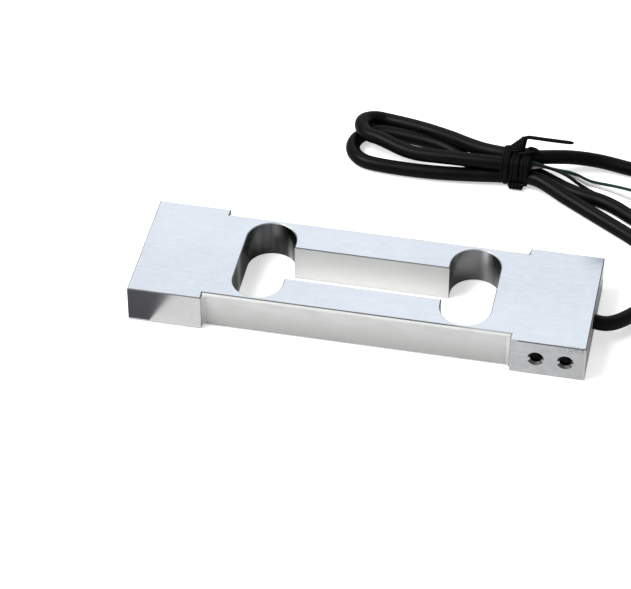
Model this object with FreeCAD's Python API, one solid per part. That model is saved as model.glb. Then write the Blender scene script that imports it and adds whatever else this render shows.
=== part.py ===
import FreeCAD, Part
import math
import os

V = FreeCAD.Vector
smooth, mitred = 0, 1           # how a pipe shell takes a corner of its path

# ---------------------------------------------------------------- driving dimensions, mm
# The cell lies on its side: Z runs through the cut-outs, X along the beam towards the
# cable, and the mounting pads look along -Y (front) and +Y (rear).

# beam
beam_length = 130.0
beam_width = 40.0             # over the mounting pads
beam_thickness = 11.5
pad_length = 21.1
recess_depth = 2.7            # from a pad to the bare floor of the recess
edge_break = 0.25

# cut-outs that make the sensing section
cavity_from_pad = 14.25       # from a pad's shoulder to the axis of the obround hole
cavity_radius = 7.2
thin_wall = 0.95              # metal left between a hole and the recess floor
window_width = 13.6

# tapped holes, M4, two in a pad
tap_pitch = 8.25
tap_end_distance = 5.6
tap_drill = 3.3
tap_depth = 10.0
tap_mouth = 4.7
drill_point = 118.0           # included angle of the drill, degrees

# wiring holes
cable_diameter = 4.3
cable_offset = -1.2           # the cable's hole lies a little off the centre line
bore_clearance = 0.2
potting_diameter = 6.4
potting_length = 4.0
potting_set_back = 0.2
jacket_from_cross_hole = 6.6  # from the jacket's inner end to the axis of the cross hole
cross_hole_diameter = 3.0
cross_hole_from_pad = 3.5     # from the pad's shoulder to the axis of the cross hole
bore_past_cross_hole = 1.3

# strain gauges, terminals and their wiring, on both recess floors
gauge_length = 5.5
gauge_height = 4.5
gauge_thickness = 0.15
strip_length = 3.2
strip_margin = 1.6            # from the strip's ends to the beam's side faces
strip_thickness = 0.35
strip_from_hole = 0.7
resistor_length = 2.0
resistor_width = 1.25
resistor_thickness = 0.45
ribbon_width = 0.7
ribbon_thickness = 0.25
ribbon_step = 1.0             # how far a ribbon runs out of its gauge before it turns
ribbon_margin = 0.3           # from the strip's end to the outer ribbon

# sealant over the gauges
sealant_thickness = 0.8
sealant_inset = 0.3
sealant_round = 0.45
meniscus = 1.1
meniscus_lip = 0.15
meniscus_sag = 0.15           # hollow of the bead's face, as a share of its height

# cores of the cable
core_diameter = 0.9
core_spacing = 1.1
conductor_diameter = 0.4
conductor_in_hole = 1.0       # bare end starts this far below the recess floor
core_bend = 0.8
core_start = 1.6              # straight stretch out of the jacket
core_widest_bend = 9.0
tip_length = 5.0
tip_diameter = 0.5

# hank of the cable and its tie; places along X are measured from the beam's cable end
waist_from_end = -34.0
waist_y = 64.8
waist_lift = 0.7              # the tie's wire under the strands holds them up
waist_length = 12.0
low_loop_end = (-74.3, 68.8, 8.2)     # x, y and radius of the cable's line
high_loop_end = (-73.2, 75.6, 6.8)
tie_wire = 1.1
tie_wraps = 3
tie_wrap_pitch = 2.0
tie_bite = 0.4                # how far the wire sinks into the strands
tie_corner = 2.4
tie_stalk_height = 4.6
tie_stalk_lean = 3.2
tie_tail_length = 14.0
tie_clearance = 0.02

# ---------------------------------------------------------------- derived places
half_length = beam_length / 2
half_width = beam_width / 2
mid_z = beam_thickness / 2
shoulder_x = half_length - pad_length
floor_y = half_width - recess_depth
cavity_x = shoulder_x - cavity_from_pad
cavity_half_height = floor_y - thin_wall
cross_hole_x = shoulder_x - cross_hole_from_pad
bore_end_x = cross_hole_x - bore_past_cross_hole
jacket_end_x = cross_hole_x + jacket_from_cross_hole
strip_x = cross_hole_x - cross_hole_diameter / 2 - strip_from_hole - strip_length / 2
strip_height = beam_thickness - 2 * strip_margin
cable_radius = cable_diameter / 2
lying_z = cable_radius
front_row = waist_y - cable_radius
rear_row = waist_y + cable_radius
low_row = waist_lift + cable_radius
high_row = waist_lift + 3 * cable_radius
waist_x = half_length + waist_from_end
strands_end = waist_from_end + waist_length / 2
waist_end_x = half_length + strands_end

# routes of the cable's free stretches, X from the beam's cable end: the points are chosen,
# the runs between them are straight and each corner is an arc as large as its runs allow
lead_route = [
    (0, cable_offset, mid_z),
    (5.3, cable_offset, mid_z),
    (10.8, 1.2, 4.6),
    (14.5, 6.2, 3.2),
    (17.0, 14.4, 2.25),
    (17.4, 25.4, lying_z),
    (10.6, 38.6, lying_z),
    (-1.8, 49.8, lying_z),
    (-13.4, 58.9, 2.25),
    (-21.3, front_row, low_row),
    (strands_end, front_row, low_row),
]
loop_route = [
    (strands_end, rear_row, low_row),
    (-21.2, rear_row, low_row),
    (-13.2, 64.9, 2.3),
    (-1.6, 56.2, lying_z),
    (10.4, 48.8, lying_z),
    (20.2, 48.0, lying_z),
    (28.6, 53.4, lying_z),
    (32.0, 62.6, lying_z),
    (28.8, 72.0, lying_z),
    (20.4, 77.6, lying_z),
    (9.8, 78.4, lying_z),
    (-2.4, 75.4, 2.6),
    (-13.6, 70.4, 5.6),
    (-22.4, rear_row, high_row),
    (strands_end, rear_row, high_row),
]
end_route = [
    (strands_end, front_row, high_row),
    (-22.8, front_row, high_row),
    (-19.0, 62.95, 7.15),
    (-15.2, 64.0, 7.0),
]

# the four cores beyond the jacket's cut end: row and side in the cable, then points
core_z = core_diameter / 2
free_cores = {
    "green": (1, 1, [(-7.6, 67.6, 4.2), (1.0, 67.4, core_z), (13.6, 63.8, core_z)]),
    "white": (-1, 1, [(-8.0, 66.4, 3.2), (0.0, 64.9, core_z), (10.4, 60.9, core_z)]),
    "black": (1, -1, [(-8.2, 64.9, 5.5), (-0.6, 63.2, core_z), (10.0, 57.9, core_z)]),
    "red": (-1, -1, [(-8.4, 64.4, 4.2), (-0.6, 61.4, core_z), (11.0, 54.0, core_z)]),
}


# ---------------------------------------------------------------- small helpers
def box(x0, x1, y0, y1, z0, z1):
    return Part.makeBox(x1 - x0, y1 - y0, z1 - z0, V(x0, y0, z0))


def prism(points, z0, z1):
    """Upright prism over a polygon given by its (x, y) corners."""
    corners = [V(x, y, z0) for x, y in points]
    face = Part.Face(Part.makePolygon(corners + corners[:1]))
    return face.extrude(V(0, 0, z1 - z0))


def mirrored(shape):
    """The same shape on the other mounting side."""
    return shape.mirror(V(0, 0, 0), V(0, 1, 0))


def rounded_path(points, radii):
    """Straight runs joined by tangent arcs of the given radii."""
    edges = []
    start = points[0]
    for before, corner, after, radius in zip(points, points[1:], points[2:], radii):
        d_in = (corner - before).normalize()
        d_out = (after - corner).normalize()
        turn = d_in.getAngle(d_out)
        back = radius * math.tan(turn / 2)
        arc_start = corner - d_in * back
        arc_end = corner + d_out * back
        inward = (d_out - d_in).normalize()
        middle = corner + inward * (radius / math.cos(turn / 2) - radius)
        edges.append(Part.LineSegment(start, arc_start).toShape())
        edges.append(Part.Arc(arc_start, middle, arc_end).toShape())
        start = arc_end
    edges.append(Part.LineSegment(start, points[-1]).toShape())
    return Part.Wire(edges)


def tube(path, radius, start, direction, corners=smooth):
    """Round bar swept along a path."""
    section = Part.Wire(Part.makeCircle(radius, start, direction))
    return path.makePipeShell([section], True, True, corners)


def widest_radii(points):
    """Arc radii as large as the runs beside each corner allow."""
    radii = []
    for before, corner, after in zip(points, points[1:], points[2:]):
        d_in = corner - before
        d_out = after - corner
        run = min(d_in.Length, d_out.Length)
        radii.append(0.45 * run / math.tan(d_in.getAngle(d_out) / 2))
    return radii


def past_cable_end(route):
    """Points of a route whose X is measured from the beam's cable end."""
    return [V(half_length + x, y, z) for x, y, z in route]


def cord(name, route, diameter):
    """A stretch of cord along its route, with its facts printed."""
    points = past_cable_end(route)
    radii = widest_radii(points)
    path = rounded_path(points, radii)
    solid = tube(path, diameter / 2, points[0], points[1] - points[0])
    section = math.pi * diameter ** 2 / 4
    smallest = min(radii) / diameter
    print(name, "length %.1f" % path.Length, "volume/section*length %.4f"
          % (solid.Volume / (section * path.Length)), "smallest radius %.1f d" % smallest)
    print("   radii", ["%.1f" % r for r in radii])
    return solid


# ---------------------------------------------------------------- beam
def beam_profile():
    """Outline of the bar with a raised pad at each corner."""
    quarter = [
        (half_length, half_width),
        (shoulder_x, half_width),
        (shoulder_x, floor_y),
    ]
    upper = quarter + [(-x, y) for x, y in reversed(quarter)]
    return upper + [(-x, -y) for x, y in upper]


def cavity():
    """Two obround holes joined by a window, all through the thickness."""
    straight = cavity_half_height - cavity_radius
    z0, z1 = -1.0, beam_thickness + 1.0
    cut = box(-cavity_x, cavity_x, -window_width / 2, window_width / 2, z0, z1)
    for x in (-cavity_x, cavity_x):
        cut = cut.fuse(box(x - cavity_radius, x + cavity_radius, -straight, straight, z0, z1))
        for y in (-straight, straight):
            cut = cut.fuse(Part.makeCylinder(cavity_radius, z1 - z0, V(x, y, z0)))
    return cut.removeSplitter()


def tapped_hole(x, side):
    """Tap drill with its point and a countersunk mouth, into the pad on one side."""
    mouth_y = side * half_width
    inward = V(0, -side, 0)
    radius = tap_drill / 2
    point = radius / math.tan(math.radians(drill_point / 2))
    hole = Part.makeCylinder(radius, tap_depth, V(x, mouth_y, mid_z), inward)
    tip = Part.makeCone(radius, 0, point, V(x, mouth_y - side * tap_depth, mid_z), inward)
    sink = tap_mouth / 2 - radius
    mouth = Part.makeCone(tap_mouth / 2, radius, sink, V(x, mouth_y, mid_z), inward)
    return hole.fuse([tip, mouth])


def side_face_edges(shape):
    """Edges of the two side faces, where the cutter's burr is broken off."""
    chosen = []
    for edge in shape.Edges:
        heights = [v.Z for v in edge.Vertexes]
        for level in (0.0, beam_thickness):
            if all(abs(z - level) < 1e-6 for z in heights):
                chosen.append(edge)
    return chosen


def beam_body():
    bar = prism(beam_profile(), 0, beam_thickness).cut(cavity())
    bar = bar.makeChamfer(edge_break, side_face_edges(bar))
    holes = []
    for step in (0, 1):
        x = half_length - tap_end_distance - step * tap_pitch
        holes.append(tapped_hole(x, -1))
        holes.append(tapped_hole(-x, 1))
    bore_radius = (cable_diameter + bore_clearance) / 2
    axis = V(1, 0, 0)
    bore_start = V(bore_end_x, cable_offset, mid_z)
    holes.append(Part.makeCylinder(bore_radius, half_length - bore_end_x + 1, bore_start, axis))
    seat = V(half_length - potting_length, cable_offset, mid_z)
    holes.append(Part.makeCylinder(potting_diameter / 2, potting_length + 1, seat, axis))
    cross_start = V(cross_hole_x, -floor_y - 1, mid_z)
    holes.append(Part.makeCylinder(cross_hole_diameter / 2, 2 * floor_y + 2, cross_start, V(0, 1, 0)))
    return bar.cut(holes)


# ---------------------------------------------------------------- gauges and wiring, front side
def on_floor(x0, x1, z0, z1, thickness):
    """A flat piece bonded to the front recess floor."""
    return box(x0, x1, -floor_y - thickness, -floor_y, z0, z1)


def gauge(x):
    half = gauge_length / 2
    rise = gauge_height / 2
    return on_floor(x - half, x + half, mid_z - rise, mid_z + rise, gauge_thickness)


def terminal_strip():
    half = strip_length / 2
    return on_floor(strip_x - half, strip_x + half, strip_margin,
                    beam_thickness - strip_margin, strip_thickness)


def resistor():
    gap_start = cavity_x + gauge_length / 2
    gap_end = strip_x - strip_length / 2
    x = (gap_start + gap_end) / 2
    z = mid_z + ribbon_width
    return on_floor(x - resistor_width / 2, x + resistor_width / 2,
                    z - resistor_length / 2, z + resistor_length / 2, resistor_thickness)


def near_ribbon():
    """From the gauge beside the terminal strip."""
    z = mid_z - gauge_height / 2 + ribbon_width
    return on_floor(cavity_x + gauge_length / 2, strip_x - strip_length / 2,
                    z - ribbon_width / 2, z + ribbon_width / 2, ribbon_thickness)


def far_ribbon():
    """From the other gauge, round the near one, to the end of the strip."""
    start = -cavity_x + gauge_length / 2
    turn = start + ribbon_step
    end = strip_x - strip_length / 2
    top = mid_z - gauge_height / 2 + 1.5 * ribbon_width
    low = strip_margin + ribbon_margin
    outline = [
        (start, top),
        (turn + ribbon_width, top),
        (turn + ribbon_width, low + ribbon_width),
        (end, low + ribbon_width),
        (end, low),
        (turn, low),
        (turn, top - ribbon_width),
        (start, top - ribbon_width),
    ]
    corners = [V(x, -floor_y, z) for x, z in outline]
    face = Part.Face(Part.makePolygon(corners + corners[:1]))
    return face.extrude(V(0, -ribbon_thickness, 0))


def lead_in(side, up):
    """A core inside the beam: insulated to just below the floor, bare on its terminal."""
    y = cable_offset + side * core_spacing / 2
    z = mid_z + up * core_spacing / 2
    bare_y = side * (floor_y - conductor_in_hole)
    corner = V(cross_hole_x, y, z)
    path = rounded_path([V(jacket_end_x, y, z), corner, V(cross_hole_x, bare_y, z)], [core_bend])
    insulated = tube(path, core_diameter / 2, V(jacket_end_x, y, z), V(-1, 0, 0))
    top_y = side * (floor_y + strip_thickness + conductor_diameter / 2)
    pad_z = mid_z + up * strip_height / 4
    bare_points = [V(cross_hole_x, bare_y, z), V(cross_hole_x, top_y, z), V(strip_x, top_y, pad_z)]
    bare = tube(Part.makePolygon(bare_points), conductor_diameter / 2, bare_points[0],
                V(0, side, 0), mitred)
    return insulated.fuse(bare)


# ---------------------------------------------------------------- sealant
def sealant_slab():
    """The coat on the front floor, from shoulder to shoulder, with both long edges rounded."""
    face_y = -floor_y - sealant_thickness
    slab = box(-shoulder_x, shoulder_x, face_y, -floor_y, sealant_inset, beam_thickness - sealant_inset)
    long_edges = []
    for edge in slab.Edges:
        on_face = all(abs(v.Y - face_y) < 1e-6 for v in edge.Vertexes)
        if on_face and edge.Length > beam_length / 4:
            long_edges.append(edge)
    return slab.makeFillet(sealant_round, long_edges)


def meniscus_bead(way):
    """Sealant drawn up against the left (-1) or right (1) shoulder."""
    face_y = -floor_y - sealant_thickness
    crest_y = face_y - meniscus
    wall_x = way * shoulder_x
    lip_x = wall_x - way * meniscus_lip
    foot_x = lip_x - way * meniscus
    z = sealant_inset + sealant_round

    def p(x, y):
        return V(x, y, z)

    sag = meniscus * meniscus_sag
    middle = p((lip_x + foot_x) / 2 + way * sag, (crest_y + face_y) / 2 + sag)
    edges = [
        Part.LineSegment(p(wall_x, -floor_y), p(wall_x, crest_y)),
        Part.LineSegment(p(wall_x, crest_y), p(lip_x, crest_y)),
        Part.Arc(p(lip_x, crest_y), middle, p(foot_x, face_y)),
        Part.LineSegment(p(foot_x, face_y), p(foot_x, -floor_y)),
        Part.LineSegment(p(foot_x, -floor_y), p(wall_x, -floor_y)),
    ]
    face = Part.Face(Part.Wire([edge.toShape() for edge in edges]))
    return face.extrude(V(0, 0, beam_thickness - 2 * z))


def sealant_blank():
    return sealant_slab().fuse([meniscus_bead(-1), meniscus_bead(1)])


# ---------------------------------------------------------------- cable inside the beam
def jacket_inner_end():
    start = V(jacket_end_x, cable_offset, mid_z)
    return Part.makeCylinder(cable_radius, half_length - jacket_end_x, start, V(1, 0, 0))


def potting_ring():
    length = potting_length - potting_set_back
    start = V(half_length - potting_length, cable_offset, mid_z)
    outer = Part.makeCylinder(potting_diameter / 2, length, start, V(1, 0, 0))
    return outer.cut(Part.makeCylinder(cable_radius, length, start, V(1, 0, 0)))


# ---------------------------------------------------------------- hank, tie and free cores
def strap_profile(x0, y0, r0, x1, y1, r1):
    """Outline round two circles with their outer tangents."""
    dx, dy = x1 - x0, y1 - y0
    distance = math.hypot(dx, dy)
    lean = math.acos((r0 - r1) / distance)
    heading = math.atan2(dy, dx)

    def on(x, y, r, angle):
        return V(x + r * math.cos(angle), y + r * math.sin(angle), 0)

    a, b = heading + lean, heading - lean
    edges = [
        Part.LineSegment(on(x0, y0, r0, b), on(x1, y1, r1, b)),
        Part.Arc(on(x1, y1, r1, b), on(x1, y1, r1, heading), on(x1, y1, r1, a)),
        Part.LineSegment(on(x1, y1, r1, a), on(x0, y0, r0, a)),
        Part.Arc(on(x0, y0, r0, a), on(x0, y0, r0, heading + math.pi), on(x0, y0, r0, b)),
    ]
    return Part.Face(Part.Wire([edge.toShape() for edge in edges]))


def tie_zone():
    """Half the length of the bundle that the tie covers."""
    return (tie_wraps - 1) * tie_wrap_pitch / 2 + tie_wire / 2


def hank():
    """Outer shape of the two loops left of the tie, with the bundle inside the tie."""
    top = high_row + cable_radius
    half = 2 * cable_radius
    solid = box(waist_x, waist_end_x, waist_y - half, waist_y + half, waist_lift, top)
    for (dx, y, r), height in ((low_loop_end, 2 * cable_radius), (high_loop_end, top)):
        profile = strap_profile(waist_x, waist_y, half, half_length + dx, y, r + cable_radius)
        solid = solid.fuse(profile.extrude(V(0, 0, height)))
    around = 2 * half
    reach = tie_zone() + tie_clearance
    groove = box(waist_x - reach, waist_x + reach, waist_y - around, waist_y + around, -1, top + 1)
    core = box(waist_x - reach, waist_x + reach, *bundle_in_tie())
    return solid.cut(groove).fuse(core).removeSplitter()


def bundle_in_tie():
    """y and z limits of the bundle where the tie squeezes it."""
    half = 2 * cable_radius - tie_bite
    bottom = tie_wire
    top = high_row + cable_radius - tie_bite
    return (waist_y - half, waist_y + half, bottom, top)


def hank_tie():
    """Three turns of coated wire round the bundle, twisted into a stalk with one long end."""
    y0, y1, z0, z1 = bundle_in_tie()
    grow = tie_wire / 2
    turns = []
    for i in range(tie_wraps):
        x = waist_x + (i - (tie_wraps - 1) / 2) * tie_wrap_pitch
        inner = box(x - grow, x + grow, y0, y1, z0, z1)
        outer = box(x - grow, x + grow, y0 - tie_wire, y1 + tie_wire, z0 - tie_wire, z1 + tie_wire)
        long_edges = [e for e in outer.Edges if abs(e.Vertexes[0].X - e.Vertexes[-1].X) > grow]
        turns.append(outer.makeFillet(tie_corner, long_edges).cut(inner))
    reach = tie_zone()
    bridge_z = z1 + tie_wire / 2
    bridge = Part.makeCylinder(tie_wire / 2, 2 * reach, V(waist_x - reach, waist_y, bridge_z), V(1, 0, 0))
    foot = V(waist_x + tie_wrap_pitch / 2, waist_y, bridge_z)
    head = foot + V(tie_stalk_lean, -tie_stalk_lean / 4, tie_stalk_height)
    stalk = Part.makeCylinder(tie_wire, (head - foot).Length, foot, head - foot)
    knob = Part.makeSphere(tie_wire, head)
    tail = Part.makeCylinder(tie_wire / 2, tie_tail_length, head, V(1, 0, 0))
    bundle = box(waist_x - 2 * reach, waist_x + 2 * reach, y0, y1, z0, z1)
    return turns[0].fuse(turns[1:] + [bridge, stalk, knob, tail]).cut(bundle).removeSplitter()


def jacket_free_end():
    """Where the outer jacket was cut back, and the way the cable points there."""
    before, end = past_cable_end(end_route[-2:])
    return end, (end - before).normalize()


def core_points(colour):
    up, side, beyond = free_cores[colour]
    end, along = jacket_free_end()
    across = V(0, 0, 1).cross(along).normalize()
    above = along.cross(across)
    start = end + (across * side + above * up) * (core_spacing / 2)
    return [start, start + along * core_start] + past_cable_end(beyond)


def free_core(colour):
    """An insulated core from the jacket's end to its stripped tip."""
    points = core_points(colour)
    radii = [min(r, core_widest_bend) for r in widest_radii(points)]
    print("core", colour, "radii", ["%.1f" % r for r in radii])
    path = rounded_path(points, radii)
    return tube(path, core_diameter / 2, points[0], points[1] - points[0])


def core_tip(colour):
    """The tinned strands left bare at the end of a core."""
    points = core_points(colour)
    along = (points[-1] - points[-2]).normalize()
    return Part.makeCylinder(tip_diameter / 2, tip_length, points[-1], along)


# ---------------------------------------------------------------- assembly
def gauge_side_parts():
    """What lies on the front floor under the sealant, by name."""
    return {
        "gauge_left": gauge(-cavity_x),
        "gauge_right": gauge(cavity_x),
        "terminal_strip": terminal_strip(),
        "bridge_resistor": resistor(),
        "jumper_ribbon_short": near_ribbon(),
        "jumper_ribbon_long": far_ribbon(),
    }


def all_nodes():
    nodes = {"beam_body": beam_body()}
    leads = {
        "lead_in_red": lead_in(-1, 1),
        "lead_in_black": lead_in(-1, -1),
        "lead_in_green": lead_in(1, 1),
        "lead_in_white": lead_in(1, -1),
    }
    blank = sealant_blank()
    for name, shape in gauge_side_parts().items():
        nodes["front_" + name] = shape
        nodes["rear_" + name] = mirrored(shape)
    under_front = [nodes[n] for n in nodes if n.startswith("front_")]
    under_rear = [nodes[n] for n in nodes if n.startswith("rear_")]
    nodes.update(leads)
    nodes["front_sealant"] = blank.cut(under_front + [leads["lead_in_red"], leads["lead_in_black"]])
    nodes["rear_sealant"] = mirrored(blank).cut(
        under_rear + [leads["lead_in_green"], leads["lead_in_white"]])
    nodes["cable_inner_end"] = jacket_inner_end()
    nodes["cable_potting"] = potting_ring()
    nodes["cable_lead"] = cord("cable_lead", lead_route, cable_diameter)
    nodes["cable_hank"] = hank()
    nodes["cable_loop"] = cord("cable_loop", loop_route, cable_diameter)
    nodes["cable_free_end"] = cord("cable_free_end", end_route, cable_diameter)
    nodes["hank_tie"] = hank_tie()
    for colour in free_cores:
        nodes["core_" + colour] = free_core(colour)
        nodes["core_tip_" + colour] = core_tip(colour)
    return nodes


def main():
    os.makedirs("parts", exist_ok=True)
    for name, shape in all_nodes().items():
        valid = shape.isValid()
        print("%-28s solids %d valid %s volume %.3f" % (name, len(shape.Solids), valid, shape.Volume))
        shape.exportStep("parts/" + name + ".step")


main()
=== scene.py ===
"""Looks of a single point load cell with its tied cable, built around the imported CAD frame."""

import math

import bmesh
import bpy
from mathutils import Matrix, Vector


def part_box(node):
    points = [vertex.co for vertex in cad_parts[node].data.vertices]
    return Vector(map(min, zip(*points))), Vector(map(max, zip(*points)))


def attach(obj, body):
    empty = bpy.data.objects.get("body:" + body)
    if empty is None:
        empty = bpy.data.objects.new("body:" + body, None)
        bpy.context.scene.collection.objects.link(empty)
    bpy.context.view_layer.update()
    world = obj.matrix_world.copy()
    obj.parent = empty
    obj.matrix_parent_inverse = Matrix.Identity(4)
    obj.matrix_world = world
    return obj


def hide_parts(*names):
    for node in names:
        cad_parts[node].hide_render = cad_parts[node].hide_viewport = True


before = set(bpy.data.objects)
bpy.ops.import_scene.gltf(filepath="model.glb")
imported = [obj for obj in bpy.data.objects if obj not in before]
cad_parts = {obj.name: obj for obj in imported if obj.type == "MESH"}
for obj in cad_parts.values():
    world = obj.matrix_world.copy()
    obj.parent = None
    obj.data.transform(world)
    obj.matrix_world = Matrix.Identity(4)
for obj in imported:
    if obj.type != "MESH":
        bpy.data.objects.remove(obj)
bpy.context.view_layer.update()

MM = 0.001


def mm(x, y, z):
    return Vector((x, y, z)) * MM


# ---------------------------------------------------------------- camera
CAMERA_PLACE = mm(112.674, -627.334, 556.502)
CAMERA_AIM = mm(-13.82, -5.53, 5.75)
CAMERA_LENS = 169.2           # mm, on a 36 mm wide sensor


def add_camera():
    data = bpy.data.cameras.new("camera")
    data.lens = CAMERA_LENS
    data.sensor_width = 36
    data.clip_start = 0.01
    data.clip_end = 20
    camera = bpy.data.objects.new("camera", data)
    camera.location = CAMERA_PLACE
    camera.rotation_euler = (CAMERA_AIM - CAMERA_PLACE).to_track_quat("-Z", "Y").to_euler()
    bpy.context.scene.collection.objects.link(camera)
    bpy.context.scene.camera = camera


add_camera()

# ---------------------------------------------------------------- places read from the frame, metres
beam_low, beam_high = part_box("beam_body")
BEAM_END = beam_high[0]
PAD_FACE = beam_high[1]
MID_Z = (beam_high[2] - beam_low[2]) / 2
SEALANT_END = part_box("front_sealant")[1][0]

# ---------------------------------------------------------------- places on the bar, millimetres
CUT_END = 37.6                # reach of the cut-out along the bar, with its broken edges
CUT_SIDE = 16.9               # and across it
WINDOW_END = 22.4             # where the window opens into the obround holes
HOLE_X = 29.65                # middle of each obround hole
HOLE_RADIUS = 7.2
TAP_MIDDLE = 55.275           # between the two tapped holes of a pad
TAP_HALF_SPACING = 4.125

# ---------------------------------------------------------------- cable, millimetres
CABLE = 4.3                   # outer diameter
FLOOR = CABLE / 2             # height of the line of a strand on the floor
WAIST_X = 33.2                # middle of the tie
WAIST_Y = 64.8
FRONT_ROW = WAIST_Y - CABLE / 2
REAR_ROW = WAIST_Y + CABLE / 2
WAIST_LIFT = 0.7              # the tie's wire lies under the strands
LOW_ROW = WAIST_LIFT + CABLE / 2
HIGH_ROW = LOW_ROW + CABLE


def lerp(a, b, u):
    return a + (b - a) * u


def round_end(tip_x, y_mid, radius, way, heights):
    """Half turn at the left end of the hank; heights are at its start, tip and end."""
    steps = 6
    points = []
    for i in range(steps + 1):
        turn = math.pi * i / steps
        half = 2 * i / steps
        z = lerp(heights[0], heights[1], half) if half <= 1 else lerp(heights[1], heights[2], half - 1)
        points.append((tip_x + radius * (1 - math.sin(turn)), y_mid + way * radius * math.cos(turn), z))
    return points


LEAD = [
    (65, -1.2, 5.75),
    (67.2, -1.7, 5.6),
    (70.6, -0.1, 5.1),
    (74.2, 4.6, 4.0),
    (77.5, 10.5, 2.7),
    (80.4, 16.8, FLOOR),
    (82.3, 25, FLOOR),
    (79.8, 33.2, FLOOR),
    (72.5, 40.6, FLOOR),
    (62, 47.6, FLOOR),
    (52.5, 53.8, 2.4),
    (48, 56.1, 3.1),
    (43.8, 59.0, 3.5),
    (39, 61.6, 3.8),
    (WAIST_X, FRONT_ROW, LOW_ROW),
]
LOW_LOOP = [
    (22.5, 61.2, 2.6),
    (11, 60.1, 2.3),
    (0.8, 60.0, FLOOR),
    *round_end(-17.5, 68.8, 8.2, -1, (FLOOR, FLOOR, FLOOR)),
    (0.8, 75.6, FLOOR),
    (9, 73.8, FLOOR),
    (15.3, 70.2, FLOOR),
    (20, 66.2, FLOOR),
    (25, 66.0, 2.4),
    (29.2, 66.8, 2.8),
]
RIGHT_LOOP = [
    (WAIST_X, REAR_ROW, LOW_ROW),
    (38, 66.0, 2.5),
    (41, 64.7, 2.2),
    (44.5, 62.7, FLOOR),
    (48.5, 60.3, FLOOR),
    (53.5, 58.3, FLOOR),
    (59.4, 57.0, FLOOR),
    (64.6, 54.4, FLOOR),
    (70, 50.4, FLOOR),
    (76, 47.0, FLOOR),
    (83.5, 46.6, FLOOR),
    (89.8, 50.8, FLOOR),
    (92, 58, FLOOR),
    (89.8, 65.6, FLOOR),
    (83.5, 70.6, FLOOR),
    (75.5, 72.4, FLOOR),
    (67, 73.4, FLOOR),
    (58, 74.6, 2.9),
    (50, 72.6, 4.8),
    (43.5, 69.2, 6.6),
    (38.5, 67.2, HIGH_ROW),
    (WAIST_X, REAR_ROW, HIGH_ROW),
]
HIGH_LOOP = [
    (27.5, 67.2, 7.1),
    (21, 69.2, 6.2),
    (11, 74.7, 5.0),
    (1, 78.9, 3.9),
    *round_end(-16.0, 75.0, 7.0, 1, (2.75, 6.2, 6.5)),
    (1, 63.7, 5.5),
    (11, 63.0, 6.3),
    (22, 62.6, 6.8),
]
FREE_END = [
    (WAIST_X, FRONT_ROW, HIGH_ROW),
    (35.6, 62.8, HIGH_ROW),
    (37.7, 63.4, HIGH_ROW),
]
ROUTE = LEAD + LOW_LOOP + RIGHT_LOOP + HIGH_LOOP + FREE_END


def link(obj):
    bpy.context.scene.collection.objects.link(obj)
    return obj


def spline_curve(name, points, diameter, steps=10):
    """A round cord on one open NURBS spline; points are in millimetres."""
    data = bpy.data.curves.new(name, "CURVE")
    data.dimensions = "3D"
    spline = data.splines.new("NURBS")
    spline.points.add(len(points) - 1)
    for point, (x, y, z) in zip(spline.points, points):
        point.co = (x * MM, y * MM, z * MM, 1)
        point.radius = diameter / 2 * MM
    spline.order_u = 3
    spline.use_endpoint_u = True
    spline.resolution_u = steps
    data.bevel_depth = 1.0        # times the points' radius
    data.bevel_resolution = 8
    data.use_fill_caps = True
    return link(bpy.data.objects.new(name, data))


cable = spline_curve("cable", ROUTE, CABLE)
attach(cable, "root")
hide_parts("cable_lead", "cable_hank", "cable_loop", "cable_free_end")

# ---------------------------------------------------------------- cores at the free end, millimetres
CORE = 0.9
CORE_FLOOR = CORE / 2         # height of the line of a core on the floor
CORE_OFFSET = 0.6             # from the cable's line to a core's, sideways and in height
CORE_INSIDE = 0.6             # how far a core's line starts inside the jacket
CORE_STRAIGHT = 0.9           # how far it runs straight out of the jacket
TIP = 0.5
TIP_INSIDE = 0.5              # how far the tinned strands start inside the core
TIP_LENGTH = 4.6
TIP_MIDDLE = 2.4              # where the strands lift a little off the floor
TIP_LIFT = 0.1

JACKET_END = Vector(FREE_END[-1])
ALONG = (JACKET_END - Vector(FREE_END[-2])).normalized()
ACROSS = Vector((0, 0, 1)).cross(ALONG).normalized()
ABOVE = ALONG.cross(ACROSS)
CORES = {                     # side and row in the jacket, then the way to the table
    "green": (1, 1, [(41.2, 64.4, 6.4), (45.0, 64.5, 5.5), (48.7, 64.4, 5.5), (51.6, 65.6, 3.7),
                     (54.4, 66.6, 1.4), (57.0, 67.1, CORE_FLOOR), (62.1, 66.7, CORE_FLOOR),
                     (67.7, 65.8, CORE_FLOOR), (73.5, 63.9, CORE_FLOOR), (78.4, 61.5, CORE_FLOOR)]),
    "white": (-1, -1, [(41.2, 65.1, 5.7), (45.0, 65.3, 4.8), (48.7, 64.9, 4.3), (51.8, 65.0, 2.7),
                       (54.5, 65.3, 1.0), (57.5, 65.4, CORE_FLOOR), (62.5, 63.9, CORE_FLOOR),
                       (68.2, 61.6, CORE_FLOOR), (74.8, 58.4, CORE_FLOOR)]),
    "black": (-1, 1, [(41.2, 63.6, 7.0), (45.0, 63.8, 6.1), (48.8, 62.8, 5.3), (51.5, 61.8, 4.1),
                      (54.2, 61.7, 2.4), (57.3, 61.2, 1.2), (62.0, 59.0, CORE_FLOOR),
                      (66.0, 56.8, CORE_FLOOR), (70.5, 53.6, CORE_FLOOR)]),
    "red": (1, -1, [(41.2, 65.8, 5.1), (45.0, 65.6, 4.5), (48.6, 63.9, 4.3), (51.3, 62.9, 3.1),
                    (54.0, 62.6, 1.5), (57.3, 62.2, CORE_FLOOR), (61.0, 60.8, CORE_FLOOR),
                    (65.0, 58.7, CORE_FLOOR), (69.2, 55.9, CORE_FLOOR), (73.5, 52.6, CORE_FLOOR)]),
}


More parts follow.
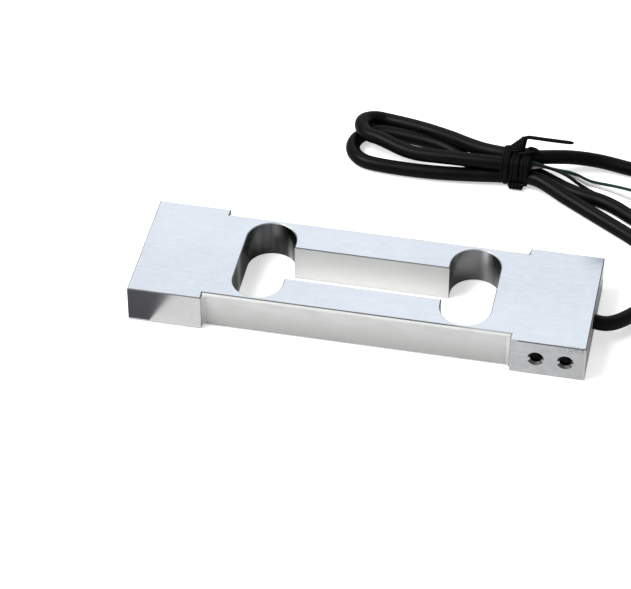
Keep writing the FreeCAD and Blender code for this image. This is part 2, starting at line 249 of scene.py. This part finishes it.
def add_cores():
    pieces = []
    for colour, (side, row, way) in CORES.items():
        start = JACKET_END + (ACROSS * side + ABOVE * row) * CORE_OFFSET
        points = [start - ALONG * CORE_INSIDE, start + ALONG * CORE_STRAIGHT] + [Vector(p) for p in way]
        core = spline_curve("core_wire_" + colour, points, CORE)
        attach(core, "root")
        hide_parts("core_" + colour)
        end = points[-1]
        onward = (end - points[-2]).normalized()
        middle = end + onward * TIP_MIDDLE + Vector((0, 0, TIP_LIFT))
        tip_points = [end - onward * TIP_INSIDE, middle, end + onward * TIP_LENGTH]
        tip = spline_curve("core_strands_" + colour, tip_points, TIP)
        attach(tip, "root")
        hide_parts("core_tip_" + colour)
        pieces += [core, tip]
    return pieces


# ---------------------------------------------------------------- tie, millimetres
TIE_WIRE = 1.15
TIE_BITE = 0.4                # how far the wire sinks into the strands
TIE_WRAPS = 9
TIE_PITCH = 1.0
TIE_START = 0.6               # share of a turn: both ends of the wraps lie underneath
TIE_SLACK = 0.2               # how much a wrap rises or sinks, at most
TIE_SWAY = 0.3                # how much it leans along the bundle, at most
SLACK_RATE = 5.3              # radians a wrap, so that no two wraps look alike
SWAY_RATE = 2.1
TURN_POINTS = 20              # points in each turn of a wound wire

CONE_FOOT = Vector((32.2, 66.6, 9.3))
CONE_HEAD = Vector((35.0, 67.0, 14.2))
CONE_TURNS = 6
CONE_START = -1.2             # radians
CONE_RADII = (2.7, 0.35)      # at the foot and at the head
CONE_TAPER = 0.8              # below 1 it narrows faster near the foot
CONE_FLATNESS = 0.55          # width across the bundle as a share of the width along it
CONE_TILT = 0.16              # rise of a turn as a share of its radius
TAIL = [
    (36.0, 67.05, 14.5),
    (37.6, 67.0, 14.5),
    (42.0, 66.9, 14.48),
    (45.5, 66.9, 14.45),
    (49.1, 67.0, 14.4),
    (49.5, 67.0, 14.4),
]
TAIL_TIP = 0.45               # share of the wire's thickness at the cut end
CURL = [
    (34.0, 64.6, 9.9),
    (35.8, 64.4, 10.5),
    (37.6, 64.9, 10.8),
    (38.8, 65.9, 10.5),
    (38.9, 66.9, 10.0),
    (37.6, 67.3, 10.2),
    (36.6, 66.5, 10.8),
]

KNOT_ENDS = (31.7, 35.6)      # along X, at the foot of the bundle's front
KNOT_Y = 59.65
KNOT_Z = 1.35
KNOT_RADII = (0.5, 0.6)       # across and in height
KNOT_TURNS = 4
KNOT_POINTS = 12              # in each turn


def round_the_bundle(u, grow):
    """Point (y, z) at the share u of a rounded square round the four strands."""
    reach = CABLE / 2
    radius = CABLE / 2 + grow
    side = 2 * reach
    arc = math.pi / 2 * radius
    middle_z = LOW_ROW + CABLE / 2
    travel = (u % 1) * 4 * (side + arc)
    quarter, rest = divmod(travel, side + arc)
    if rest < side:
        y, z = -reach + rest, reach + radius
    else:
        turn = (rest - side) / radius
        y, z = reach + radius * math.sin(turn), reach + radius * math.cos(turn)
    for _ in range(int(quarter)):
        y, z = z, -y
    return WAIST_Y + y, middle_z + z


def tie_wraps():
    grow = TIE_WIRE / 2 - TIE_BITE
    start_x = WAIST_X - TIE_PITCH * TIE_WRAPS / 2
    steps = TURN_POINTS * TIE_WRAPS
    points = []
    for i in range(steps + 1):
        u = i / steps * TIE_WRAPS
        y, z = round_the_bundle(u + TIE_START, grow)
        if z > TIE_WIRE:
            slack = TIE_SLACK * math.sin(SLACK_RATE * u)
        else:
            slack = 0
        sway = TIE_SWAY * math.sin(SWAY_RATE * u)
        points.append((start_x + TIE_PITCH * u + sway, y, z + slack))
    return spline_curve("tie_wraps", points, TIE_WIRE, 4)


def tie_tail():
    """Wire wound into a cone above the tie, which goes on as a straight tail."""
    wound = []
    steps = TURN_POINTS * CONE_TURNS
    for i in range(steps + 1):
        u = i / steps
        turn = 2 * math.pi * CONE_TURNS * u + CONE_START
        reach = lerp(*CONE_RADII, u ** CONE_TAPER)
        along, across = reach * math.cos(turn), reach * math.sin(turn)
        from_line = Vector((along, CONE_FLATNESS * across, CONE_TILT * along))
        wound.append(CONE_FOOT.lerp(CONE_HEAD, u) + from_line)
    tail = spline_curve("tie_tail", wound + TAIL, TIE_WIRE, 4)
    tail.data.splines[0].points[-1].radius *= TAIL_TIP
    return tail


def tie_knot():
    """Close turns of wire at the floor, in front of the bundle."""
    points = []
    steps = KNOT_POINTS * KNOT_TURNS
    for i in range(steps + 1):
        turn = 2 * math.pi * i / KNOT_POINTS
        y = KNOT_Y + KNOT_RADII[0] * math.cos(turn)
        z = KNOT_Z + KNOT_RADII[1] * math.sin(turn)
        points.append((lerp(*KNOT_ENDS, i / steps), y, z))
    return spline_curve("tie_knot", points, TIE_WIRE, 4)


core_pieces = add_cores()
tie_pieces = [tie_wraps(), tie_tail(), spline_curve("tie_end", CURL, TIE_WIRE, 6), tie_knot()]
for piece in tie_pieces:
    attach(piece, "root")
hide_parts("hank_tie")

# ---------------------------------------------------------------- threads in the tapped holes, millimetres
THREAD_PITCH = 0.7            # M4
THREAD_WALL = 1.65            # radius of the drilled wall
THREAD_HEIGHT = 0.3
THREAD_START = 1.4            # depths below the pad's face
THREAD_END = 9.2
THREAD_STEPS = 36             # in each turn
RIDGE_FOOT = 0.31             # half widths of the ridge at its foot and its crest
RIDGE_CREST = 0.05
RIDGE_SUNK = 0.02             # how deep the foot lies in the wall


def tapped_holes():
    """X of each tapped hole and the way its mouth looks along Y."""
    places = []
    for side in (-1, 1):
        for shift in (TAP_HALF_SPACING, -TAP_HALF_SPACING):
            places.append((-side * (TAP_MIDDLE + shift), side))
    return places


def add_thread(name, x, side):
    """Helical ridge inside a tapped hole whose mouth looks along side * Y."""
    mesh = bpy.data.meshes.new(name)
    form = bmesh.new()
    count = int((THREAD_END - THREAD_START) / THREAD_PITCH * THREAD_STEPS)
    rows = []
    for i in range(count + 1):
        turn = 2 * math.pi * i / THREAD_STEPS
        depth = THREAD_START + THREAD_PITCH * i / THREAD_STEPS
        crest = THREAD_HEIGHT * min(1, i / THREAD_STEPS, (count - i) / THREAD_STEPS)
        section = [(-RIDGE_FOOT, -RIDGE_SUNK), (-RIDGE_CREST, crest)]
        section += [(RIDGE_CREST, crest), (RIDGE_FOOT, -RIDGE_SUNK)]
        row = []
        for shift, height in section:
            r = THREAD_WALL - height
            y = side * (PAD_FACE / MM - depth - shift)
            row.append(form.verts.new(mm(x + r * math.cos(turn), y, MID_Z / MM + side * r * math.sin(turn))))
        rows.append(row)
    for a, b in zip(rows, rows[1:]):
        for j in range(len(a) - 1):
            form.faces.new((a[j], a[j + 1], b[j + 1], b[j]))
    form.normal_update()
    form.to_mesh(mesh)
    form.free()
    thread = link(bpy.data.objects.new(name, mesh))
    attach(thread, "root")
    return thread


threads = [add_thread("thread_%d" % (i + 1), x, side) for i, (x, side) in enumerate(tapped_holes())]


# ---------------------------------------------------------------- materials
class Tree:
    """Short calls for building one material's node tree."""

    def __init__(self, name):
        self.material = bpy.data.materials.new(name)
        self.material.use_nodes = True
        self.nodes = self.material.node_tree.nodes
        self.links = self.material.node_tree.links
        self.shader = self.nodes["Principled BSDF"]
        self.place = self.add("TexCoord").outputs["Object"]
        geometry = self.add("NewGeometry")
        self.facing = self.split(geometry.outputs["True Normal"])

    def put(self, socket, value):
        if isinstance(value, bpy.types.NodeSocket):
            self.links.new(value, socket)
        elif isinstance(value, tuple) and len(value) == 3 and len(socket.default_value) == 4:
            socket.default_value = (*value, 1)
        else:
            socket.default_value = value

    def add(self, kind, settings=None, **inputs):
        node = self.nodes.new("ShaderNode" + kind)
        for key, value in (settings or {}).items():
            setattr(node, key, value)
        for key, value in inputs.items():
            self.put(node.inputs[key.replace("_", " ")], value)
        return node

    def set(self, **inputs):
        for key, value in inputs.items():
            self.put(self.shader.inputs[key.replace("_", " ")], value)

    def split(self, vector):
        node = self.add("SeparateXYZ")
        self.put(node.inputs[0], vector)
        return node.outputs

    def math(self, operation, a, b=0.0, c=0.0):
        node = self.add("Math", {"operation": operation})
        for socket, value in zip(node.inputs, (a, b, c)):
            self.put(socket, value)
        return node.outputs[0]

    def stretch(self, x, y, z):
        """Object place times a scale along each axis, per millimetre."""
        node = self.add("VectorMath", {"operation": "MULTIPLY"})
        self.put(node.inputs[0], self.place)
        node.inputs[1].default_value = (x / MM, y / MM, z / MM)
        return node.outputs[0]

    def noise(self, x, y, z, detail=2.0, rough=0.5):
        node = self.add("TexNoise", Vector=self.stretch(x, y, z), Scale=1.0, Detail=detail, Roughness=rough)
        return node.outputs["Fac"]

    def remap(self, value, low, high, out_low=0.0, out_high=1.0):
        node = self.add("MapRange", {"interpolation_type": "SMOOTHSTEP"})
        for socket, number in zip(node.inputs, (value, low, high, out_low, out_high)):
            self.put(socket, number)
        return node.outputs[0]

    def mix(self, share, a, b):
        """Colour between a and b."""
        node = self.add("Mix", {"data_type": "RGBA"})
        self.put(node.inputs[0], share)
        self.put(node.inputs[6], a)
        self.put(node.inputs[7], b)
        return node.outputs[2]

    def times(self, a, b):
        """Product; of two masks, where both hold."""
        return self.math("MULTIPLY", a, b)

    def either(self, share, a, b):
        """Number between a and b."""
        rest = self.math("SUBTRACT", 1.0, share)
        return self.math("ADD", self.times(share, b), self.times(rest, a))

    def below(self, place, limit):
        """1 where a coordinate is below a limit in millimetres."""
        return self.math("LESS_THAN", place, limit * MM)

    def above(self, place, limit):
        return self.math("GREATER_THAN", place, limit * MM)

    def along(self, place, start, end, out_low=0.0, out_high=1.0):
        """Smooth step of a coordinate between two places in millimetres."""
        return self.remap(place, start * MM, end * MM, out_low, out_high)

    def repeat(self, axis, half):
        """Wave along an axis, from 0 to half and back, in millimetres."""
        place = self.split(self.place)[axis]
        return self.math("PINGPONG", self.math("MULTIPLY", place, 1 / MM), half)

    def bell(self, value, centre, width):
        """1 at the centre, falling smoothly to 0 at centre plus or minus width."""
        away = self.math("ABSOLUTE", self.math("SUBTRACT", value, centre))
        return self.remap(away, 0.0, width, 1.0, 0.0)

    def axis_mask(self, axis):
        """1 on faces that look along an axis, either way."""
        return self.math("GREATER_THAN", self.math("ABSOLUTE", self.facing[axis]), 0.8)

    def bump(self, height, distance, strength=1.0, radius=0.0):
        under = self.add("Bevel", {"samples": 6}, Radius=radius * MM).outputs[0] if radius else None
        node = self.add("Bump", Strength=strength, Distance=distance * MM, Height=height)
        if under:
            self.links.new(under, node.inputs["Normal"])
        self.set(Normal=node.outputs[0])


class Bar(Tree):
    """The bar's material, with the coordinates and masks that its places need."""

    def __init__(self):
        super().__init__("cell_metal")
        self.x, self.y, self.z = self.split(self.place)[:3]
        self.away_x = self.math("ABSOLUTE", self.x)
        self.away_y = self.math("ABSOLUTE", self.y)
        self.right = self.above(self.x, 0)
        self.top = self.axis_mask(2)
        self.upright = self.math("LESS_THAN", self.math("ABSOLUTE", self.facing[2]), 0.3)
        self.slanted = self.math("SUBTRACT", self.math("SUBTRACT", 1.0, self.top), self.upright)
        self.in_cut = self.times(self.below(self.away_x, CUT_END), self.below(self.away_y, CUT_SIDE))
        self.walls = self.times(self.in_cut, self.upright)
        self.window = self.times(self.walls, self.below(self.away_x, WINDOW_END))
        self.by_sealant_end = self.times(self.along(self.x, 24, 34), self.below(self.x, 46))


def milled_top(t):
    """As milled: nearly even, with the faintest clouds and one smudge near a corner."""
    mottle = t.noise(0.09, 0.09, 0.3, 4.0, 0.65)
    colour = t.mix(t.remap(mottle, 0.3, 0.7), (0.620, 0.650, 0.690), (0.640, 0.672, 0.715))
    corner = t.times(t.along(t.x, 56, 66), t.along(t.y, 11, 20))
    return t.mix(t.times(corner, t.remap(mottle, 0.3, 0.6, 0.5, 1.0)), colour, (0.36, 0.38, 0.43))


def drawn_sides(t, lines):
    """As drawn: soft clouds crossed by short die lines; painted light makes the left end lighter and painted
    shade darkens the right end.
    """
    colour = t.mix(t.remap(lines, 0.35, 0.65), (0.67, 0.68, 0.69), (0.80, 0.81, 0.82))
    # Painted shade: darker towards the right end.
    colour = t.mix(t.along(t.x, 50, 66, 0.0, 0.35), colour, (0.62, 0.625, 0.63))
    # Painted light: the left end is lighter than the right.
    left_end_painted_light = t.mix(t.remap(lines, 0.3, 0.7), (0.83, 0.835, 0.83), (0.90, 0.905, 0.895))
    return t.mix(t.below(t.x, 0), colour, left_end_painted_light)


def bore_walls_painted_light(t, streaks):
    """Walls of the obround holes: a painted dark reflection, with painted highlights as soft light streaks
    that run along the bore, and painted light at the far end of the left hole.
    """
    across = t.math("DIVIDE", t.math("SUBTRACT", t.away_x, HOLE_X * MM), HOLE_RADIUS * MM)
    across = t.either(t.right, t.math("MULTIPLY", across, -1.0), across)
    height = t.along(t.z, 0.5, 11.0)

    # Left wall: two painted highlights over a painted dark reflection.
    wide_painted_highlight = t.times(t.bell(across, 0.06, 0.34), t.remap(height, 0.45, 1.0, 0.0, 0.8))
    thin_painted_highlight = t.times(t.bell(across, 0.62, 0.2), t.remap(height, 0.95, 0.6, 0.0, 0.9))
    left_wall_painted_light = t.mix(t.math("ADD", wide_painted_highlight, thin_painted_highlight), (0.10, 0.102, 0.106), (0.66, 0.66, 0.66))
    # Painted light at the far end of the left wall.
    far_end_painted_light = t.times(t.bell(t.y, -1.6 * MM, 3.6 * MM), t.math("LESS_THAN", across, -0.8))
    left_wall_painted_light = t.mix(far_end_painted_light, left_wall_painted_light, (1.0, 1.0, 1.0))

    # Right wall: one painted highlight over a painted reflection that is lighter than the left wall's.
    right_painted_highlight = t.times(t.bell(across, 0.33, 0.34), t.either(height, 0.4, 1.0))
    right_wall_painted_light = t.mix(right_painted_highlight, (0.27, 0.272, 0.278), (1.0, 1.0, 1.0))

    colour = t.mix(t.right, left_wall_painted_light, right_wall_painted_light)
    return t.mix(t.remap(streaks, 0.35, 0.7, 0.0, 0.3), colour, (0.3, 0.3, 0.3))


def window_walls_painted_light(t):
    # Painted light: the wall is lighter towards the floor and darker towards the top.
    return t.mix(t.along(t.z, 1.0, 11.0), (1.0, 1.0, 0.985), (0.85, 0.85, 0.84))


def edges_painted_light(t):
    """Painted shade as dark hairlines along the chamfered edges, with painted highlights along the rims of
    the holes and where the sealant ends.
    """
    rim_painted_highlight = t.times(t.in_cut, t.above(t.away_x, WINDOW_END))
    return t.mix(t.math("MAXIMUM", rim_painted_highlight, t.by_sealant_end), (0.16, 0.16, 0.165), (0.42, 0.43, 0.45))


def burrs(t):
    """Share of the burrs left on the near corner by the pad's last cut."""
    near_edge = t.times(t.along(t.away_y, 18.6, 20), t.along(t.z, 8.6, 11.2))
    near_end = t.times(t.along(t.x, 54, 63), t.below(t.y, 0))
    return t.times(t.times(near_edge, near_end), t.remap(t.noise(1.6, 1.6, 1.6, 4.0, 0.7), 0.5, 0.58))


def drilled_hole_painted_shade(t):
    """Mask of the tapped holes below their mouths, where shade is painted."""
    off_x = t.math("SUBTRACT", t.math("ABSOLUTE", t.math("SUBTRACT", t.away_x, TAP_MIDDLE * MM)),
                   TAP_HALF_SPACING * MM)
    off_z = t.math("SUBTRACT", t.z, MID_Z)
    off = t.math("SQRT", t.math("ADD", t.times(off_x, off_x), t.times(off_z, off_z)))
    return t.times(t.below(off, 1.9), t.below(t.away_y, 19.25))


def cell_metal():
    """Milled and drawn aluminium: side faces milled, pads as drawn, with painted light and shade on the
    bored walls, the window, the edges, the right end face and inside the tapped holes.
    """
    t = Bar()
    die_lines = t.either(0.55, t.noise(0.12, 0.2, 1.6, 3.0, 0.6), t.noise(0.35, 0.2, 0.5, 4.0, 0.6))
    streaks = t.noise(0.5, 0.5, 0.03, 3.0, 0.5)
    fine = t.noise(0.35, 3.0, 3.0, 3.0, 0.6)

    colour = t.mix(t.top, drawn_sides(t, die_lines), milled_top(t))
    # Painted dark reflections and highlights on the walls of the obround holes.
    colour = t.mix(t.walls, colour, bore_walls_painted_light(t, streaks))
    # Painted light on the window walls.
    colour = t.mix(t.window, colour, window_walls_painted_light(t))
    # Painted shade and painted highlights along the chamfered edges.
    colour = t.mix(t.slanted, colour, edges_painted_light(t))
    colour = t.mix(burrs(t), colour, (0.22, 0.22, 0.23))
    # Painted shade inside the tapped holes.
    colour = t.mix(drilled_hole_painted_shade(t), colour, (0.022, 0.022, 0.025))
    # Painted light on the right end face.
    end_face_painted_light = t.math("GREATER_THAN", t.facing[0], 0.8)
    colour = t.mix(t.times(end_face_painted_light, t.above(t.x, BEAM_END / MM - 1)), colour, (0.93, 0.93, 0.93))

    rough = t.either(t.top, t.either(t.right, 0.24, 0.16), t.remap(fine, 0.3, 0.7, 0.26, 0.34))
    rough = t.either(t.walls, rough, 0.24)
    rough = t.either(t.window, rough, 0.42)
    rough = t.either(t.slanted, rough, 0.5)

    # Painted light: the chamfer by the sealant's end is made less metallic so that it shows bright.
    painted_light_edge = t.times(t.slanted, t.times(t.by_sealant_end, t.below(t.y, -16.5)))
    metallic = t.math("SUBTRACT", t.either(t.window, 1.0, 0.45), t.times(painted_light_edge, 0.9))
    # The right end face is made less metallic too, for its painted light.
    metallic = t.math("MINIMUM", metallic, t.either(t.above(t.x, BEAM_END / MM - 0.4), 1.0, 0.5))
    t.set(Base_Color=colour, Roughness=rough, Metallic=metallic, Anisotropic=0.35)

    relief = t.either(t.top, t.times(die_lines, 0.5), t.times(fine, 0.5))
    t.bump(t.either(t.walls, relief, streaks), 0.006, 0.5, 0.09)
    return t.material


def thread_metal():
    """Cut thread: lit at the mouth, dark below."""
    t = Tree("thread_metal")
    depth = t.math("ABSOLUTE", t.split(t.place)[1])
    lit = t.along(depth, 18.2, 19.8)
    t.set(Base_Color=t.mix(lit, (0.03, 0.03, 0.033), (0.30, 0.30, 0.31)), Metallic=1.0, Roughness=0.3)
    t.bump(t.noise(4.0, 4.0, 4.0, 2.0), 0.01, 0.5)
    return t.material


def sealant():
    """Grey silicone, with painted shade towards the floor and a painted shadow in the gap at its end."""
    t = Tree("sealant")
    x, _, z = t.split(t.place)[:3]
    cloud = t.noise(0.12, 0.12, 0.3, 4.0, 0.6)
    # Painted shade: darker towards the floor.
    colour = t.mix(t.along(z, -1.5, 11.2), (0.44, 0.438, 0.432), (0.76, 0.76, 0.757))
    colour = t.mix(t.remap(cloud, 0.35, 0.7, 0.0, 0.4), colour, (0.56, 0.555, 0.54))
    # Painted shadow in the gap where the sealant meets the pad.
    end_gap_painted_shadow = t.remap(x, SEALANT_END - 0.45 * MM, SEALANT_END - 0.05 * MM)
    colour = t.mix(end_gap_painted_shadow, colour, (0.10, 0.10, 0.10))
    t.set(Base_Color=colour, Roughness=t.remap(cloud, 0.3, 0.7, 0.28, 0.42), Specular_IOR_Level=0.6,
          Coat_Weight=0.25, Coat_Roughness=0.2)
    t.bump(t.noise(0.4, 0.4, 0.9, 3.0, 0.55), 0.02, 0.6, 0.1)
    return t.material


def pvc(name, dark, light, rough, shine=0.35, relief=0.012):
    """Extruded soft plastic: faint smudges and a fine grain."""
    t = Tree(name)
    smudge = t.noise(0.14, 0.14, 0.14, 4.0, 0.6)
    grain = t.noise(3.0, 3.0, 3.0, 3.0, 0.6)
    t.set(Base_Color=t.mix(t.remap(smudge, 0.35, 0.7), dark, light),
          Roughness=t.remap(smudge, 0.3, 0.7, rough, rough + 0.12), Specular_IOR_Level=shine)
    t.bump(grain, relief, 0.5)
    return t.material


def tinned():
    """Uneven solder over the strands of a core."""
    t = Tree("tinned")
    lumps = t.noise(2.5, 2.5, 2.5, 2.0)
    t.set(Base_Color=t.mix(lumps, (0.55, 0.54, 0.52), (0.80, 0.79, 0.77)), Metallic=1.0, Roughness=0.3)
    t.bump(lumps, 0.05, 0.8)
    return t.material


def gauge_foil():
    """Amber film with a folded grid of resistance foil."""
    t = Tree("gauge_foil")
    stripe = t.math("GREATER_THAN", t.repeat(2, 0.25), 0.12)
    film = t.mix(t.noise(0.6, 0.6, 0.6), (0.55, 0.27, 0.06), (0.66, 0.36, 0.10))
    t.set(Base_Color=t.mix(stripe, film, (0.62, 0.40, 0.24)), Metallic=t.times(stripe, 0.8), Roughness=0.35)
    t.bump(stripe, 0.01, 0.5)
    return t.material


def terminal_board():
    """Green laminate with tinned pads."""
    t = Tree("terminal_board")
    height = t.split(t.place)[2]
    pad = t.times(t.math("GREATER_THAN", t.repeat(0, 0.9), 0.4), t.bell(height, MID_Z, 2.6 * MM))
    weave = t.noise(2.0, 2.0, 2.0, 3.0)
    board = t.mix(weave, (0.02, 0.11, 0.05), (0.03, 0.16, 0.07))
    t.set(Base_Color=t.mix(pad, board, (0.70, 0.69, 0.66)), Metallic=t.times(pad, 0.9),
          Roughness=t.either(pad, 0.5, 0.25))
    t.bump(t.math("ADD", pad, t.times(weave, 0.2)), 0.03, 0.5)
    return t.material


def resistor_body():
    """Blue lacquered trimming resistor with colour bands."""
    t = Tree("resistor_body")
    band = t.math("GREATER_THAN", t.repeat(0, 0.6), 0.42)
    cloud = t.noise(0.8, 0.8, 0.8)
    t.set(Base_Color=t.mix(band, t.mix(cloud, (0.10, 0.30, 0.48), (0.14, 0.36, 0.54)), (0.30, 0.10, 0.03)),
          Roughness=0.3, Coat_Weight=0.4)
    t.bump(cloud, 0.02, 0.4)
    return t.material


def ribbon():
    """Flat jumper: parallel cores under grey film."""
    t = Tree("ribbon")
    ridge = t.remap(t.repeat(2, 0.5), 0.0, 0.5)
    t.set(Base_Color=t.mix(ridge, (0.30, 0.30, 0.31), (0.62, 0.61, 0.58)), Roughness=0.4)
    t.bump(t.math("ADD", ridge, t.noise(1.0, 1.0, 1.0)), 0.05, 0.5)
    return t.material


def dress(pieces, material):
    for piece in pieces:
        obj = bpy.data.objects[piece] if isinstance(piece, str) else piece
        obj.data.materials.clear()
        obj.data.materials.append(material)


jacket = pvc("jacket", (0.0020, 0.0020, 0.0024), (0.0035, 0.0035, 0.004), rough=0.36, shine=0.11)
tie_coating = pvc("tie_coating", (0.0015, 0.0015, 0.0018), (0.003, 0.003, 0.0033), rough=0.5, shine=0.1)
potting = pvc("potting", (0.010, 0.010, 0.011), (0.02, 0.02, 0.02), rough=0.25)
CORE_LOOKS = {                # darkest and lightest colour, shine
    "green": ((0.005, 0.032, 0.024), (0.008, 0.048, 0.034), 0.25),
    "white": ((0.62, 0.63, 0.61), (0.72, 0.73, 0.71), 0.35),
    "black": ((0.006, 0.006, 0.007), (0.010, 0.010, 0.011), 0.25),
    "red": ((0.30, 0.012, 0.010), (0.38, 0.016, 0.013), 0.35),
}
strands = tinned()
gauge, board, resistor, jumper = gauge_foil(), terminal_board(), resistor_body(), ribbon()
dress(["beam_body"], cell_metal())
dress(threads, thread_metal())
dress(["front_sealant", "rear_sealant"], sealant())
dress([cable, "cable_inner_end"], jacket)
dress(tie_pieces, tie_coating)
dress(["cable_potting"], potting)
for side in ("front_", "rear_"):
    dress([side + "gauge_left", side + "gauge_right"], gauge)
    dress([side + "terminal_strip"], board)
    dress([side + "bridge_resistor"], resistor)
    dress([side + "jumper_ribbon_short", side + "jumper_ribbon_long"], jumper)
for colour, (dark, light, shine) in CORE_LOOKS.items():
    skin = pvc("core_" + colour, dark, light, rough=0.35, shine=shine, relief=0.004)
    dress(["core_wire_" + colour, "lead_in_" + colour], skin)
    dress(["core_strands_" + colour], strands)


# ---------------------------------------------------------------- stage
FLOOR_REACH = 2500            # mm
FLOOR_LIFT = 0.5              # light that keeps the camera's shadows on the table faint
DARK_CARD = [(-95, -20.5), (-59.0, -20.5), (-55.6, -33), (-53.2, -60), (-95, -60)]      # mm
DARK_CARD_HEIGHT = 0.2        # mm
WORLD_FRONT = 0.32            # brightness from the camera's side
WORLD_BACK = 0.4


def add_area(name, place, aim, size, power, colour=(1, 1, 1)):
    data = bpy.data.lights.new(name, "AREA")
    data.shape = "RECTANGLE"
    data.size, data.size_y = size
    data.energy = power
    data.color = colour
    lamp = link(bpy.data.objects.new(name, data))
    lamp.location = place
    lamp.rotation_euler = (Vector(aim) - Vector(place)).to_track_quat("-Z", "Y").to_euler()


def flat_card(name, corners, height):
    mesh = bpy.data.meshes.new(name)
    mesh.from_pydata([mm(x, y, height) for x, y in corners], [], [tuple(range(len(corners)))])
    card = link(bpy.data.objects.new(name, mesh))
    return card


def add_floor():
    """White table: full white to the camera, greyer in reflections on the metal."""
    reach = FLOOR_REACH
    floor = flat_card("floor", [(-reach, -reach), (reach, -reach), (reach, reach), (-reach, reach)], 0)
    t = Tree("floor_white")
    path = t.add("LightPath")
    seen_in_metal = path.outputs["Is Glossy Ray"]
    t.set(Base_Color=t.mix(seen_in_metal, (0.94, 0.94, 0.94), (0.62, 0.62, 0.62)), Roughness=0.9,
          Specular_IOR_Level=0.1, Emission_Color=(1.0, 1.0, 1.0),
          Emission_Strength=t.times(path.outputs["Is Camera Ray"], FLOOR_LIFT))
    floor.data.materials.append(t.material)


def add_dark_card():
    """Dark shape on the table by the left pad, seen only in reflections."""
    card = flat_card("dark_card", DARK_CARD, DARK_CARD_HEIGHT)
    t = Tree("card_dark")
    t.set(Base_Color=(0.066, 0.066, 0.076), Roughness=0.8, Specular_IOR_Level=0.0)
    card.data.materials.append(t.material)
    card.visible_camera = False
    card.visible_diffuse = False
    card.visible_shadow = False
    card.visible_transmission = False


def add_world():
    """White to the camera; to the object it brightens a little from front to back."""
    world = bpy.data.worlds.new("world")
    bpy.context.scene.world = world
    world.use_nodes = True
    nodes, links = world.node_tree.nodes, world.node_tree.links
    background = nodes["Background"]
    direction = nodes.new("ShaderNodeTexCoord").outputs["Generated"]
    split = nodes.new("ShaderNodeSeparateXYZ")
    links.new(direction, split.inputs[0])
    ramp = nodes.new("ShaderNodeMapRange")
    links.new(split.outputs["Y"], ramp.inputs[0])
    for socket, value in zip(ramp.inputs[1:5], (-0.4, 0.5, WORLD_FRONT, WORLD_BACK)):
        socket.default_value = value
    path = nodes.new("ShaderNodeLightPath")
    strength = nodes.new("ShaderNodeMix")
    links.new(path.outputs["Is Camera Ray"], strength.inputs[0])
    links.new(ramp.outputs[0], strength.inputs[2])
    strength.inputs[3].default_value = 1.0
    links.new(strength.outputs[0], background.inputs["Strength"])
    background.inputs["Color"].default_value = (1, 1, 1, 1)


add_floor()
add_dark_card()
add_world()
add_area("back_softbox", (-0.20, 1.0, 0.89), (0, 0, 0), (1.1, 0.8), 2.75, (0.90, 0.95, 1.0))
add_area("key_softbox", (-0.7, -0.3, 1.1), (0, 0, 0), (0.7, 0.7), 17)
bpy.context.scene.view_settings.view_transform = "Standard"

bpy.context.view_layer.update()
